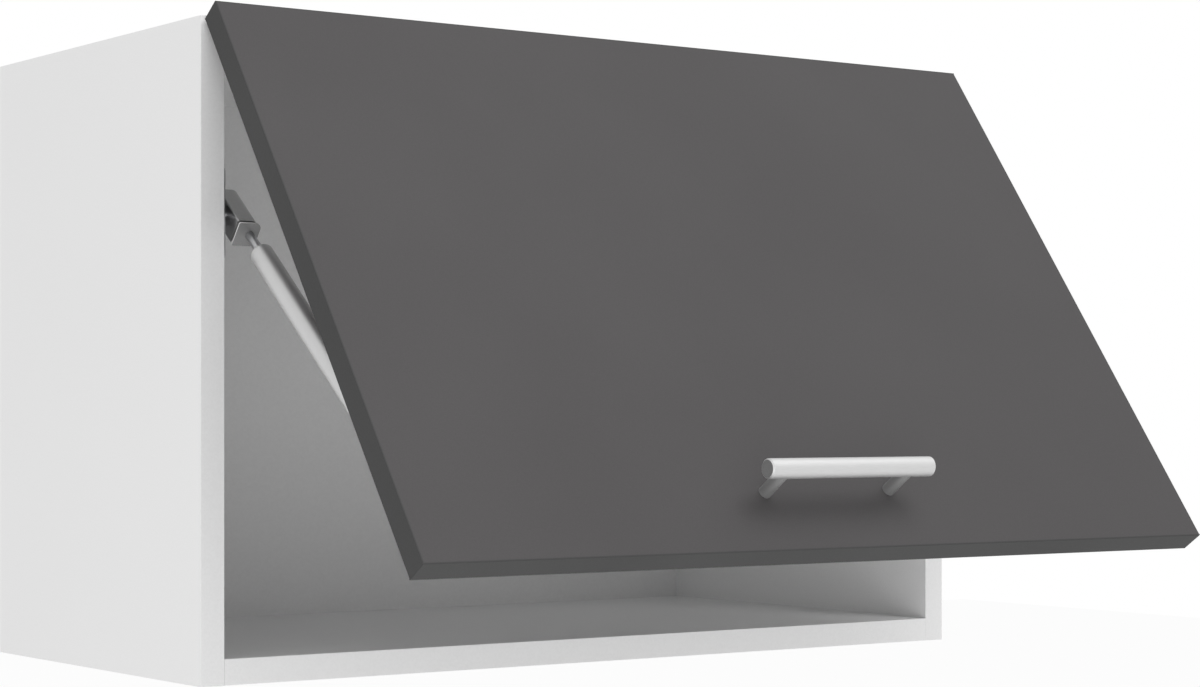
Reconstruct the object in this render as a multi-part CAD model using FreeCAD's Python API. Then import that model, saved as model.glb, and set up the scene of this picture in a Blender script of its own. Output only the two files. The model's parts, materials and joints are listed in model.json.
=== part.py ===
import FreeCAD
import Part
import math
import os

# Carcass
cabinet_width = 600.0
cabinet_height = 400.0
cabinet_depth = 295.0
board = 16.0
back_board = 3.0
back_inset = 2.0
edge_band = 1.0
edge_round = 0.4

# Corner joints of the carcass: cams, cam bolts and dowels
joint_inset = 60.0
dowel_spacing = 32.0
cam_radius = 7.5
cam_height = 12.0
cam_reach = 34.0
cam_slot_width = 1.4
cam_slot_length = 9.0
cam_slot_depth = 2.0
cam_cover_thickness = 1.2
cam_bore_radius = 4.0
bolt_thread_radius = 2.8
bolt_thread_length = 11.0
bolt_shank_radius = 2.4
bolt_head_radius = 3.3
bolt_head_length = 5.0
bolt_clearance = 0.3
dowel_radius = 4.0
dowel_length = 30.0
dowel_in_side = 11.0
dowel_chamfer = 0.8

# Nails of the back panel
nail_radius = 0.8
nail_length = 20.0
nail_head_radius = 1.8
nail_head_length = 0.6
nails_per_height = 4
nails_per_width = 5
nail_margin = 90.0

# Hanger plates in the rear upper corners
hanger_width = 58.0
hanger_height = 58.0
hanger_thickness = 2.0
hanger_clearance = 1.0
hanger_corner = 3.0
keyhole_entry_radius = 5.0
keyhole_slot_radius = 2.75
keyhole_rise = 14.0
keyhole_from_edge = 20.0
hanger_screw_margin = 12.0
hanger_screw_length = 22.0

# Wood screws, shared by all the fittings
screw_radius = 1.6
screw_head_radius = 3.2
screw_head_depth = 1.6

# Flap
flap_board = 16.0
flap_reveal = 2.0
flap_gap = 2.0
flap_open_angle = 35.34
flap_edge_round = 0.6
bumper_radius = 4.0
bumper_height = 1.6
bumper_from_edge = 20.0

# Leaf hinges on the upper edge
hinge_length = 50.0
hinge_from_side = 90.0
hinge_axis_forward = 1.5
hinge_axis_drop = 1.5
hinge_pin_radius = 1.8
hinge_running_clearance = 0.05
leaf_thickness = 0.9
leaf_width = 12.0
leaf_screw_distance = 7.4
leaf_screw_spread = 32.0
leaf_screw_length = 13.0
knuckle_count = 5
knuckle_gap = 0.3
knuckle_overlap = 1.0
barrel_clearance = 0.5

# Gas struts: pivots
strut_inset = 14.0
seat_setback = 10.8
seat_drop = 117.0
lever_length = 332.7
lever_standoff = 7.5
slide_per_degree = 1.8

# Gas struts: tube, rod and stud
tube_radius = 7.25
tube_wall = 1.0
tube_base_wall = 3.0
tube_shoulder = 2.5
tube_roll = 0.8
tube_from_pivot = 38.0
guide_length = 7.0
stud_radius = 2.8
stud_in_fitting = 7.0
rod_radius = 3.0
rod_clearance = 0.08
piston_length = 6.0
piston_clearance = 0.1
piston_margin = 3.0

# Gas struts: upper end fitting, its ball stud and wall plate
fitting_above = 15.3
fitting_below = 20.4
fitting_width = 15.0
fitting_depth = 16.5
fitting_offset = 1.5
fitting_round = 6.5
fitting_lip_round = 4.5
fitting_edge = 1.0
fitting_groove = 1.6
fitting_groove_depth = 1.6
fitting_lip = 1.0
fitting_lip_proud = 0.1
ball_radius = 4.2
ball_stud_radius = 3.0
ball_flange_radius = 5.5
ball_flange_thickness = 1.5
seat_clearance = 0.3
wall_plate_width = 18.0
wall_plate_height = 60.0
wall_plate_thickness = 1.5
wall_plate_corner = 6.0
wall_plate_screw_spread = 42.0
wall_plate_screw_length = 12.0

# Gas struts: lower eye, bracket and pin
eye_radius = 6.0
eye_half_width = 7.0
eye_edge = 0.8
eye_clearance = 0.9
bracket_clearance = 0.6
bracket_thickness = 2.0
bracket_width = 22.0
bracket_length = 36.0
bracket_corner = 4.0
bracket_ear_radius = 8.0
bracket_screw_spread = 22.0
bracket_screw_length = 13.0
lower_pin_radius = 2.5
lower_pin_clearance = 0.05
lower_pin_head_radius = 4.0
lower_pin_head = 1.2
lower_pin_gap = 0.3

# Handle
handle_length = 126.0
handle_spacing = 96.0
handle_radius = 6.0
handle_edge = 0.8
handle_reach = 25.0
handle_from_lower_edge = 40.0
post_radius = 4.0
handle_screw_radius = 2.0
handle_screw_depth = 10.0
handle_screw_head_radius = 4.0
handle_screw_head = 2.2

# Places that follow from the sizes above
origin = FreeCAD.Vector(0, 0, 0)
x_axis = FreeCAD.Vector(1, 0, 0)
y_axis = FreeCAD.Vector(0, 1, 0)
z_axis = FreeCAD.Vector(0, 0, 1)
outer_x = cabinet_width / 2
inner_x = outer_x - board
top_z = cabinet_height / 2
bottom_z = -top_z
front_y = -cabinet_depth
board_front_y = front_y + edge_band
board_rear_y = -back_board
flap_half = outer_x - flap_reveal
flap_top = top_z - flap_reveal
flap_bottom = bottom_z + flap_reveal
flap_back = front_y - flap_gap
flap_front = flap_back - flap_board
hinge_y = front_y - hinge_axis_forward
hinge_z = flap_top - hinge_axis_drop
hinge_point = FreeCAD.Vector(0, hinge_y, hinge_z)
hinge_x = flap_half - hinge_from_side
knuckle_radius = hinge_pin_radius + leaf_thickness
strut_x = -inner_x + strut_inset
seat = FreeCAD.Vector(strut_x, front_y + seat_setback, top_z - seat_drop)
shut_lever = FreeCAD.Vector(strut_x, flap_back + lever_standoff, flap_top - lever_length)
flap_turn = FreeCAD.Rotation(x_axis, -flap_open_angle)
lever = flap_turn.multVec(shut_lever - hinge_point) + hinge_point
strut_length = (lever - seat).Length
strut_angle = math.degrees(math.atan2(seat.y - lever.y, seat.z - lever.z))
closing_slide = slide_per_degree * flap_open_angle
tube_end = strut_length - closing_slide - eye_radius - eye_clearance
tube_bore = tube_radius - tube_wall
handle_y = flap_front - handle_reach
handle_z = flap_bottom + handle_from_lower_edge


def box(x_span, y_span, z_span):
    corner = FreeCAD.Vector(x_span[0], y_span[0], z_span[0])
    return Part.makeBox(x_span[1] - x_span[0], y_span[1] - y_span[0], z_span[1] - z_span[0], corner)


def rod(radius, start, end):
    return Part.makeCylinder(radius, (end - start).Length, start, end - start)


def mirrored(shapes, normal):
    return [shape.mirror(origin, normal) for shape in shapes]


def both_sides(shapes):
    return shapes + mirrored(shapes, x_axis)


def four_corners(shapes):
    pair = both_sides(shapes)
    return pair + mirrored(pair, z_axis)


def opened(shape):
    return shape.rotated(hinge_point, x_axis, -flap_open_angle)


def on_strut(shape):
    return shape.rotated(origin, x_axis, -strut_angle).translated(seat)


def bored(panel, pieces):
    touching = [piece for piece in pieces if piece.BoundBox.intersect(panel.BoundBox)]
    return panel.cut(touching)


def rounded(shape, radius, chosen):
    return shape.makeFillet(radius, [edge for edge in shape.Edges if chosen(edge)])


def save(node, shapes):
    if len(shapes) == 1:
        shapes[0].exportStep("parts/" + node + ".step")
    else:
        Part.makeCompound(shapes).exportStep("parts/" + node + ".step")


def save_pair(node, shape):
    save(node + "_left", [shape])
    save(node + "_right", mirrored([shape], x_axis))


# A countersunk wood screw, its head flush at the point it is driven in from
def wood_screw(point, direction, length):
    head = Part.makeCone(screw_head_radius, screw_radius, screw_head_depth, point, direction)
    return head.fuse(Part.makeCylinder(screw_radius, length, point, direction)).removeSplitter()


# Dowels and cam fittings of the lower left corner, repeated in the other three
def dowel(y):
    start = FreeCAD.Vector(-inner_x - dowel_in_side, y, bottom_z + board / 2)
    pin = Part.makeCylinder(dowel_radius, dowel_length, start, x_axis)
    return pin.makeChamfer(dowel_chamfer, [edge for edge in pin.Edges if len(edge.Vertexes) == 1])


def cam_bolt(y):
    middle_z = bottom_z + board / 2
    thread_start = FreeCAD.Vector(-inner_x - bolt_thread_length, y, middle_z)
    face = FreeCAD.Vector(-inner_x, y, middle_z)
    head_start = FreeCAD.Vector(-inner_x + cam_reach - bolt_head_length / 2, y, middle_z)
    head_end = head_start + x_axis * bolt_head_length
    thread = rod(bolt_thread_radius, thread_start, face)
    shank = rod(bolt_shank_radius, face, head_start)
    head = rod(bolt_head_radius, head_start, head_end)
    return thread.fuse([shank, head])


def cam_bolt_bore(y):
    face = FreeCAD.Vector(-inner_x, y, bottom_z + board / 2)
    return rod(cam_bore_radius, face, face + x_axis * cam_reach)


def cam_centre(y):
    return FreeCAD.Vector(-inner_x + cam_reach, y, bottom_z)


def cam(y):
    base = cam_centre(y) + z_axis * cam_cover_thickness
    drum = Part.makeCylinder(cam_radius, cam_height, base, z_axis)
    hollow_start = FreeCAD.Vector(base.x - cam_radius, y, bottom_z + board / 2)
    hollow_end = FreeCAD.Vector(base.x + bolt_head_length / 2 + bolt_clearance, y, bottom_z + board / 2)
    hollow = rod(bolt_head_radius + bolt_clearance, hollow_start, hollow_end)
    half_length = cam_slot_length / 2
    half_width = cam_slot_width / 2
    slot_z = (base.z, base.z + cam_slot_depth)
    slot = box((base.x - half_length, base.x + half_length), (y - half_width, y + half_width), slot_z)
    cross = box((base.x - half_width, base.x + half_width), (y - half_length, y + half_length), slot_z)
    return drum.cut([hollow, slot, cross])


def cam_cap(y):
    return Part.makeCylinder(cam_radius, cam_cover_thickness, cam_centre(y), z_axis)


joint_ys = [front_y + joint_inset, board_rear_y - joint_inset]
dowel_ys = [joint_ys[0] + dowel_spacing, joint_ys[1] - dowel_spacing]
dowels = four_corners([dowel(y) for y in dowel_ys])
cam_bolts = four_corners([cam_bolt(y) for y in joint_ys])
cam_bores = four_corners([cam_bolt_bore(y) for y in joint_ys])
cams = four_corners([cam(y) for y in joint_ys])
cam_caps = four_corners([cam_cap(y) for y in joint_ys])
cam_pockets = four_corners(
    [Part.makeCylinder(cam_radius, cam_cover_thickness + cam_height, cam_centre(y), z_axis) for y in joint_ys])


# Hanger plates: each closes a cut corner of the back panel and has a keyhole for a wall screw
hanger_outer = -outer_x + back_inset
hanger_inner = hanger_outer + hanger_width
hanger_top = top_z - back_inset
hanger_bottom = hanger_top - hanger_height
hanger_y = (board_rear_y, board_rear_y + hanger_thickness)
keyhole_x = hanger_inner - keyhole_from_edge
keyhole_z = hanger_bottom + keyhole_from_edge


def hanger_screw(x, z):
    return wood_screw(FreeCAD.Vector(x, hanger_y[1], z), -y_axis, hanger_screw_length)


def hanger_plate():
    plate = box((hanger_outer, hanger_inner), hanger_y, (hanger_bottom, hanger_top))
    plate = rounded(plate, hanger_corner, lambda edge: edge.BoundBox.YLength > hanger_thickness / 2)
    entry_start = FreeCAD.Vector(keyhole_x, hanger_y[0], keyhole_z)
    slot_start = entry_start + z_axis * keyhole_rise
    entry = Part.makeCylinder(keyhole_entry_radius, hanger_thickness, entry_start, y_axis)
    slot_end = Part.makeCylinder(keyhole_slot_radius, hanger_thickness, slot_start, y_axis)
    slot_x = (keyhole_x - keyhole_slot_radius, keyhole_x + keyhole_slot_radius)
    slot = box(slot_x, hanger_y, (keyhole_z, slot_start.z))
    return plate.cut([entry, slot_end, slot])


side_screw_x = -outer_x + board / 2
hanger_screws = both_sides([
    hanger_screw(side_screw_x, hanger_bottom + hanger_screw_margin),
    hanger_screw(side_screw_x, hanger_top - hanger_screw_margin - board),
    hanger_screw(hanger_inner - hanger_screw_margin, top_z - board / 2)])


# Back panel with its nails, driven into the rear edges of the four boards
def nail(x, z):
    point = FreeCAD.Vector(x, 0, z)
    head = Part.makeCylinder(nail_head_radius, nail_head_length, point, -y_axis)
    return head.fuse(Part.makeCylinder(nail_radius, nail_length, point, -y_axis))


def spread(count, first, last):
    return [first + (last - first) * index / (count - 1) for index in range(count)]


nail_reach_z = cabinet_height / 2 - nail_margin
nail_reach_x = cabinet_width / 2 - nail_margin
nail_line_x = outer_x - board / 2
nail_line_z = top_z - board / 2
side_nails = both_sides(
    [nail(-nail_line_x, z) for z in spread(nails_per_height, -nail_reach_z, nail_reach_z)])
level_nails = [nail(x, -nail_line_z) for x in spread(nails_per_width, -nail_reach_x, nail_reach_x)]
nails = side_nails + level_nails + mirrored(level_nails, z_axis)


def back_panel():
    half_width = outer_x - back_inset
    half_height = top_z - back_inset
    sheet = box((-half_width, half_width), (board_rear_y, 0), (-half_height, half_height))
    notch_x = (-outer_x, hanger_inner + hanger_clearance)
    notch = box(notch_x, (board_rear_y, 0), (hanger_bottom - hanger_clearance, top_z))
    return bored(sheet.cut(both_sides([notch])), nails)


# Wall plates that the struts' upper pivots bear on
wall_plate_x = (-inner_x, -inner_x + wall_plate_thickness)


def wall_plate():
    y_span = (seat.y - wall_plate_width / 2, seat.y + wall_plate_width / 2)
    z_span = (seat.z - wall_plate_height / 2, seat.z + wall_plate_height / 2)
    plate = box(wall_plate_x, y_span, z_span)
    corner_edges = lambda edge: edge.BoundBox.XLength > wall_plate_thickness / 2
    return rounded(plate, wall_plate_corner, corner_edges)


def wall_plate_screw(rise):
    point = FreeCAD.Vector(wall_plate_x[1], seat.y, seat.z + rise)
    return wood_screw(point, -x_axis, wall_plate_screw_length)


wall_plate_screws = both_sides(
    [wall_plate_screw(-wall_plate_screw_spread / 2), wall_plate_screw(wall_plate_screw_spread / 2)])


# Leaf hinges, drawn with the flap shut
def hinge_knuckle_spans(first):
    pitch = hinge_length / knuckle_count
    start = -hinge_x - hinge_length / 2
    return [(start + pitch * index + knuckle_gap / 2, start + pitch * (index + 1) - knuckle_gap / 2)
            for index in range(first, knuckle_count, 2)]


def hinge_leaf(y_span, first_knuckle, bore_radius):
    x_span = (-hinge_x - hinge_length / 2, -hinge_x + hinge_length / 2)
    shoulder_z = hinge_z - knuckle_radius - barrel_clearance
    leaf = box(x_span, y_span, (hinge_z - leaf_width, shoulder_z))
    for span in hinge_knuckle_spans(first_knuckle):
        start = FreeCAD.Vector(span[0], hinge_y, hinge_z)
        end = FreeCAD.Vector(span[1], hinge_y, hinge_z)
        tab = box(span, y_span, (shoulder_z, hinge_z - knuckle_overlap))
        leaf = leaf.fuse([tab, rod(knuckle_radius, start, end)])
    return leaf.cut(hinge_line(bore_radius, 0)).removeSplitter()


def hinge_line(radius, margin):
    start = FreeCAD.Vector(-hinge_x - hinge_length / 2 - margin, hinge_y, hinge_z)
    return rod(radius, start, start + x_axis * (hinge_length + 2 * margin))


def leaf_screws(face_y, direction):
    offsets = (-leaf_screw_spread / 2, leaf_screw_spread / 2)
    points = [FreeCAD.Vector(-hinge_x + offset, face_y, hinge_z - leaf_screw_distance) for offset in offsets]
    return both_sides([wood_screw(point, direction, leaf_screw_length) for point in points])


carcass_leaf_y = (front_y - leaf_thickness, front_y)
flap_leaf_y = (flap_back, flap_back + leaf_thickness)
carcass_leaf_screws = leaf_screws(carcass_leaf_y[0], y_axis)
flap_leaf_screws = leaf_screws(flap_leaf_y[1], -y_axis)
carcass_leaf = bored(hinge_leaf(carcass_leaf_y, 0, hinge_pin_radius), carcass_leaf_screws)
flap_bore = hinge_pin_radius + hinge_running_clearance
flap_leaf = bored(hinge_leaf(flap_leaf_y, 1, flap_bore), flap_leaf_screws)
barrel_grooves = both_sides([hinge_line(knuckle_radius + barrel_clearance, barrel_clearance)])


# Carcass boards and the bands on their front edges
joint_fasteners = dowels + cam_bolts + cam_bores + cam_pockets
carcass_fasteners = nails + hanger_screws + wall_plate_screws + carcass_leaf_screws


def front_band(x_span, z_span):
    strip = box(x_span, (front_y, board_front_y), z_span)
    along_z = z_span[1] - z_span[0] > x_span[1] - x_span[0]

    def outer_long_edge(edge):
        bounds = edge.BoundBox
        run = bounds.ZLength if along_z else bounds.XLength
        return bounds.YMax < board_front_y - edge_band / 2 and run > board + edge_band
    return rounded(strip, edge_round, outer_long_edge)


side_panel = box((-outer_x, -inner_x), (board_front_y, board_rear_y), (bottom_z, top_z))
side_panel = bored(side_panel, dowels + cam_bolts + carcass_fasteners)
level_y = (board_front_y, board_rear_y)
bottom_panel = box((-inner_x, inner_x), level_y, (bottom_z, bottom_z + board))
bottom_panel = bored(bottom_panel, joint_fasteners + nails)
top_panel = box((-inner_x, inner_x), level_y, (top_z - board, top_z))
top_panel = bored(top_panel, joint_fasteners + carcass_fasteners + barrel_grooves)
side_band = front_band((-outer_x, -inner_x), (bottom_z, top_z))
bottom_band = front_band((-inner_x, inner_x), (bottom_z, bottom_z + board))
top_band = front_band((-inner_x, inner_x), (top_z - board, top_z))
top_band = bored(top_band, carcass_leaf_screws + barrel_grooves)


# Gas strut, drawn upright with its upper pivot at the origin and its rod pointing down
def fitting_section(grow, front_round, z):
    left = -fitting_width / 2 - fitting_offset - grow
    right = fitting_width / 2 - fitting_offset + grow
    front = -fitting_depth / 2 - grow
    back = fitting_depth / 2 + grow
    corners = [(left, front, fitting_edge), (right, front, front_round),
               (right, back, fitting_edge), (left, back, fitting_edge)]
    return rounded_outline(corners, z)


def rounded_outline(corners, z):
    points = [FreeCAD.Vector(x, y, z) for x, y, radius in corners]
    starts = []
    arcs = []
    ends = []
    for index, (x, y, radius) in enumerate(corners):
        toward_last = (points[index - 1] - points[index]).normalize()
        toward_next = (points[(index + 1) % len(points)] - points[index]).normalize()
        centre = points[index] + (toward_last + toward_next) * radius
        outward = (points[index] - centre).normalize()
        starts.append(points[index] + toward_last * radius)
        ends.append(points[index] + toward_next * radius)
        arcs.append(Part.Arc(starts[-1], centre + outward * radius, ends[-1]).toShape())
    lines = [Part.LineSegment(ends[index - 1], starts[index]).toShape() for index in range(len(points))]
    edges = [edge for pair in zip(lines, arcs) for edge in pair]
    return Part.Face(Part.Wire(edges))


def fitting_slice(grow, front_round, low, high):
    return fitting_section(grow, front_round, low).extrude(z_axis * (high - low))


fitting_foot = -fitting_below
lip_top = fitting_foot + fitting_lip
groove_top = lip_top + fitting_groove
stud_top = fitting_foot + stud_in_fitting
pivot_reach = strut_inset - wall_plate_thickness - seat_clearance


def ball_stud():
    ball = Part.makeSphere(ball_radius)
    tip = FreeCAD.Vector(-pivot_reach, 0, 0)
    shank = rod(ball_stud_radius, tip, origin)
    flange = rod(ball_flange_radius, tip, tip + x_axis * ball_flange_thickness)
    return ball.fuse([shank, flange])


def strut_stud():
    return rod(stud_radius, FreeCAD.Vector(0, 0, -tube_from_pivot), FreeCAD.Vector(0, 0, stud_top))


def upper_fitting():
    body = fitting_slice(0, fitting_round, groove_top, fitting_above)
    top_edges = lambda edge: edge.BoundBox.ZMin > fitting_above - fitting_edge / 2
    body = rounded(body, fitting_edge / 2, top_edges)
    neck = fitting_slice(-fitting_groove_depth, fitting_round, lip_top, groove_top)
    lip = fitting_slice(fitting_lip_proud, fitting_lip_round, fitting_foot, lip_top)
    return body.fuse([neck, lip]).cut([strut_stud(), ball_stud()])


def strut_tube():
    top = FreeCAD.Vector(0, 0, -tube_from_pivot)
    end = FreeCAD.Vector(0, 0, -tube_end)
    barrel = rod(tube_radius, end, top)
    shoulder = lambda edge: edge.BoundBox.ZMin > -tube_from_pivot - tube_shoulder / 2
    barrel = rounded(barrel, tube_shoulder, shoulder)
    rolled_end = lambda edge: edge.BoundBox.ZMax < -tube_end + tube_roll / 2
    barrel = rounded(barrel, tube_roll, rolled_end)
    return barrel.cut(rod(tube_bore, end, top - z_axis * tube_base_wall))


def rod_guide():
    end = FreeCAD.Vector(0, 0, -tube_end)
    ring = rod(tube_bore, end, end + z_axis * guide_length)
    return ring.cut(rod(rod_radius + rod_clearance, end, end + z_axis * guide_length))


lower_pivot = FreeCAD.Vector(0, 0, -strut_length)
piston_top = -tube_from_pivot - tube_base_wall - closing_slide - piston_margin
piston_foot = piston_top - piston_length
rod_start = lower_pivot + z_axis * (lower_pin_radius + eye_radius) / 2


def piston_rod():
    return rod(rod_radius, rod_start, FreeCAD.Vector(0, 0, piston_top))


def piston():
    disc = rod(tube_bore - piston_clearance, FreeCAD.Vector(0, 0, piston_foot), FreeCAD.Vector(0, 0, piston_top))
    return disc.cut(piston_rod())


def rod_eye():
    side = x_axis * eye_half_width
    barrel = rod(eye_radius, lower_pivot - side, lower_pivot + side)
    barrel = rounded(barrel, eye_edge, lambda edge: len(edge.Vertexes) == 1)
    bore = rod(lower_pin_radius + lower_pin_clearance, lower_pivot - side, lower_pivot + side)
    return barrel.cut([bore, piston_rod()])


# Bracket and pin of the strut's lower pivot, drawn with the flap shut
ear_x = (strut_x + tube_radius + bracket_clearance, strut_x + tube_radius + bracket_clearance + bracket_thickness)


def lower_pin():
    head_start = shut_lever - x_axis * (eye_half_width + lower_pin_gap + lower_pin_head)
    head_end = head_start + x_axis * lower_pin_head
    tip = FreeCAD.Vector(ear_x[1], shut_lever.y, shut_lever.z)
    return rod(lower_pin_head_radius, head_start, head_end).fuse(rod(lower_pin_radius, head_end, tip))


def bracket_screw(rise):
    x = (ear_x[1] + ear_x[0] + bracket_width) / 2
    point = FreeCAD.Vector(x, flap_back + bracket_thickness, shut_lever.z + rise)
    return wood_screw(point, -y_axis, bracket_screw_length)


def lower_bracket():
    half_length = bracket_length / 2
    foot = box((ear_x[0], ear_x[0] + bracket_width), (flap_back, flap_back + bracket_thickness),
               (shut_lever.z - half_length, shut_lever.z + half_length))

    def free_corner(edge):
        bounds = edge.BoundBox
        return bounds.YLength > bracket_thickness / 2 and bounds.XMin > ear_x[1]
    foot = rounded(foot, bracket_corner, free_corner)
    ear = box(ear_x, (flap_back, shut_lever.y),
              (shut_lever.z - bracket_ear_radius, shut_lever.z + bracket_ear_radius))
    ear_start = FreeCAD.Vector(ear_x[0], shut_lever.y, shut_lever.z)
    nose = rod(bracket_ear_radius, ear_start, ear_start + x_axis * bracket_thickness)
    skin = box(ear_x, (flap_back - bracket_ear_radius, flap_back),
               (shut_lever.z - half_length, shut_lever.z + half_length))
    return foot.fuse([ear, nose]).cut(skin).removeSplitter()


bracket_screws = both_sides(
    [bracket_screw(-bracket_screw_spread / 2), bracket_screw(bracket_screw_spread / 2)])


# Handle: a bar on two posts, screwed on from behind the flap
def handle_bar():
    half = x_axis * handle_length / 2
    centre = FreeCAD.Vector(0, handle_y, handle_z)
    bar = rod(handle_radius, centre - half, centre + half)
    return bar.makeChamfer(handle_edge, [edge for edge in bar.Edges if len(edge.Vertexes) == 1])


def handle_screw():
    head_start = FreeCAD.Vector(-handle_spacing / 2, flap_back + handle_screw_head, handle_z)
    seat_point = FreeCAD.Vector(-handle_spacing / 2, flap_back, handle_z)
    tip = FreeCAD.Vector(-handle_spacing / 2, flap_front - handle_screw_depth, handle_z)
    head = rod(handle_screw_head_radius, head_start, seat_point)
    return head.fuse(rod(handle_screw_radius, seat_point, tip))


def handle_post():
    foot = FreeCAD.Vector(-handle_spacing / 2, flap_front, handle_z)
    post = rod(post_radius, foot, FreeCAD.Vector(foot.x, handle_y, handle_z))
    return post.cut([handle_bar(), handle_screw()])


# Flap board, its four edge bands and its bumpers, drawn with the flap shut
core_half = flap_half - edge_band
core_top = flap_top - edge_band
core_bottom = flap_bottom + edge_band
flap_y = (flap_front, flap_back)
flap_fasteners = flap_leaf_screws + bracket_screws + both_sides([handle_screw()])
flap_panel = box((-core_half, core_half), flap_y, (core_bottom, core_top))
flap_panel = bored(flap_panel, flap_fasteners + barrel_grooves)


def flap_band(x_span, z_span, outer_edge):
    return rounded(box(x_span, flap_y, z_span), flap_edge_round, outer_edge)


flap_band_bottom = flap_band((-flap_half, flap_half), (flap_bottom, core_bottom),
                             lambda edge: edge.BoundBox.ZMax < core_bottom - edge_band / 2)
flap_band_top = flap_band((-flap_half, flap_half), (core_top, flap_top),
                          lambda edge: edge.BoundBox.ZMin > core_top + edge_band / 2)
flap_band_top = bored(flap_band_top, barrel_grooves)


def outer_upright_edge(edge):
    return edge.BoundBox.XMax < -core_half - edge_band / 2 and edge.BoundBox.ZLength > flap_board + edge_band


flap_band_side = flap_band((-flap_half, -core_half), (core_bottom, core_top), outer_upright_edge)
bumper_point = FreeCAD.Vector(-outer_x + board / 2, flap_back, flap_bottom + bumper_from_edge)
bumper = Part.makeCylinder(bumper_radius, bumper_height, bumper_point, y_axis)


# Each piece is written as its own node, the flap and what it carries at its photographed angle
os.makedirs("parts", exist_ok=True)
save_pair("side_panel", side_panel)
save("top_panel", [top_panel])
save("bottom_panel", [bottom_panel])
save("back_panel", [back_panel()])
save_pair("side_edge_band", side_band)
save("top_edge_band", [top_band])
save("bottom_edge_band", [bottom_band])
save("cam_housings", cams)
save("cam_bolts", cam_bolts)
save("cam_covers", cam_caps)
save("corner_dowels", dowels)
save("back_nails", nails)
save_pair("hanger_plate", bored(hanger_plate(), hanger_screws))
save("hanger_screws", hanger_screws)
save_pair("hinge_leaf_carcass", carcass_leaf)
save_pair("hinge_pin", hinge_line(hinge_pin_radius, 0))
save("hinge_screws_carcass", carcass_leaf_screws)
save_pair("strut_wall_plate", bored(wall_plate(), wall_plate_screws))
save("strut_wall_plate_screws", wall_plate_screws)

save("flap_panel", [opened(flap_panel)])
save("flap_edge_band_top", [opened(flap_band_top)])
save("flap_edge_band_bottom", [opened(flap_band_bottom)])
save_pair("flap_edge_band", opened(flap_band_side))
save("flap_bumpers", both_sides([opened(bumper)]))
save_pair("hinge_leaf_flap", opened(flap_leaf))
save("hinge_screws_flap", [opened(screw) for screw in flap_leaf_screws])
save_pair("strut_flap_bracket", opened(bored(lower_bracket(), bracket_screws + [lower_pin()])))
save("strut_flap_bracket_screws", [opened(screw) for screw in bracket_screws])
save_pair("strut_flap_pin", opened(lower_pin()))
save("handle_bar", [opened(handle_bar())])
save_pair("handle_post", opened(handle_post()))
save("handle_screws", both_sides([opened(handle_screw())]))

save_pair("strut_rod", on_strut(piston_rod()))
save_pair("strut_rod_eye", on_strut(rod_eye()))
save_pair("strut_piston", on_strut(piston()))
save_pair("strut_tube", on_strut(strut_tube()))
save_pair("strut_rod_guide", on_strut(rod_guide()))
save_pair("strut_stud", on_strut(strut_stud()))
save_pair("strut_upper_fitting", on_strut(upper_fitting()))
save_pair("strut_ball_stud", on_strut(ball_stud()))

print("strut length", round(strut_length, 2), "angle", round(strut_angle, 2))
print("tube from", tube_from_pivot, "to", round(tube_end, 2), "lower pivot", lever)
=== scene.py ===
# %% [markdown]
# # A white wall cabinet with a grey lift-up flap
# The construction arrives as a frame of separate solids, already at their real places.
# A scene could import one joined mesh, but then nothing would move with its own body.
# So each solid stays its own object, and this lesson only gives finishes and fine pieces.

# %% Load the frame
import json
import math

import bmesh
import bpy
from mathutils import Matrix, Vector

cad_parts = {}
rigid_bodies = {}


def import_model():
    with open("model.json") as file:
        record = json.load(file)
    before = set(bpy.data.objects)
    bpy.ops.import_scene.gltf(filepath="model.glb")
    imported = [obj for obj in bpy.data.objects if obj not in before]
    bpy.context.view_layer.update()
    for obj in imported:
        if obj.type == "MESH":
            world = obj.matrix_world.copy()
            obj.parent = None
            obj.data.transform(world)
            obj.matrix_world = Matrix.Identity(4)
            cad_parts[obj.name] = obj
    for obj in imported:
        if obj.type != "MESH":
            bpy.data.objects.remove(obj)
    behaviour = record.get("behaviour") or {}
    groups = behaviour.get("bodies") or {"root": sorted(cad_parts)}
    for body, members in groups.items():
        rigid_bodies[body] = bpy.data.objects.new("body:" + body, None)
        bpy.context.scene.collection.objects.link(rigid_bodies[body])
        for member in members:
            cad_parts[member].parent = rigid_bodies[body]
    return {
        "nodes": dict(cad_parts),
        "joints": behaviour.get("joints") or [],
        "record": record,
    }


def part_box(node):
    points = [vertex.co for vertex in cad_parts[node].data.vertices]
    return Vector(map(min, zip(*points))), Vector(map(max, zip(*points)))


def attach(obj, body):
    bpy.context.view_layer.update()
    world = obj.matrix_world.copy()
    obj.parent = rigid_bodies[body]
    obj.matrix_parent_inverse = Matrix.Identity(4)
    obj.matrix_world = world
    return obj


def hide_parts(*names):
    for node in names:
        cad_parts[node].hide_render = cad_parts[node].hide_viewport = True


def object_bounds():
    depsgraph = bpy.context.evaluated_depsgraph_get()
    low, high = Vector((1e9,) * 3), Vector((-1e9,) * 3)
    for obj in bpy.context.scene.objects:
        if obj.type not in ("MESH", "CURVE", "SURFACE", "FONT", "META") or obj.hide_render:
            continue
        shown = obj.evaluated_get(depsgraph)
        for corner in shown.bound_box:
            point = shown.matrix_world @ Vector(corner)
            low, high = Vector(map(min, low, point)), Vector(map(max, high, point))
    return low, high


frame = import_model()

cad_low, cad_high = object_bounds()
nodes = frame["nodes"]
joint_of = {entry["name"]: entry for entry in frame["joints"]}
print("cabinet box in metres:", [round(side, 4) for side in cad_high - cad_low])

# %% [markdown]
# ## The camera
# The photograph was taken level, from the left, with a long lens and the picture cropped high.
# A camera can be placed by eye, or solved from straight edges that meet at vanishing points.
# The second way is used: the solved focal length and crop are set as lens and shift.

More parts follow.
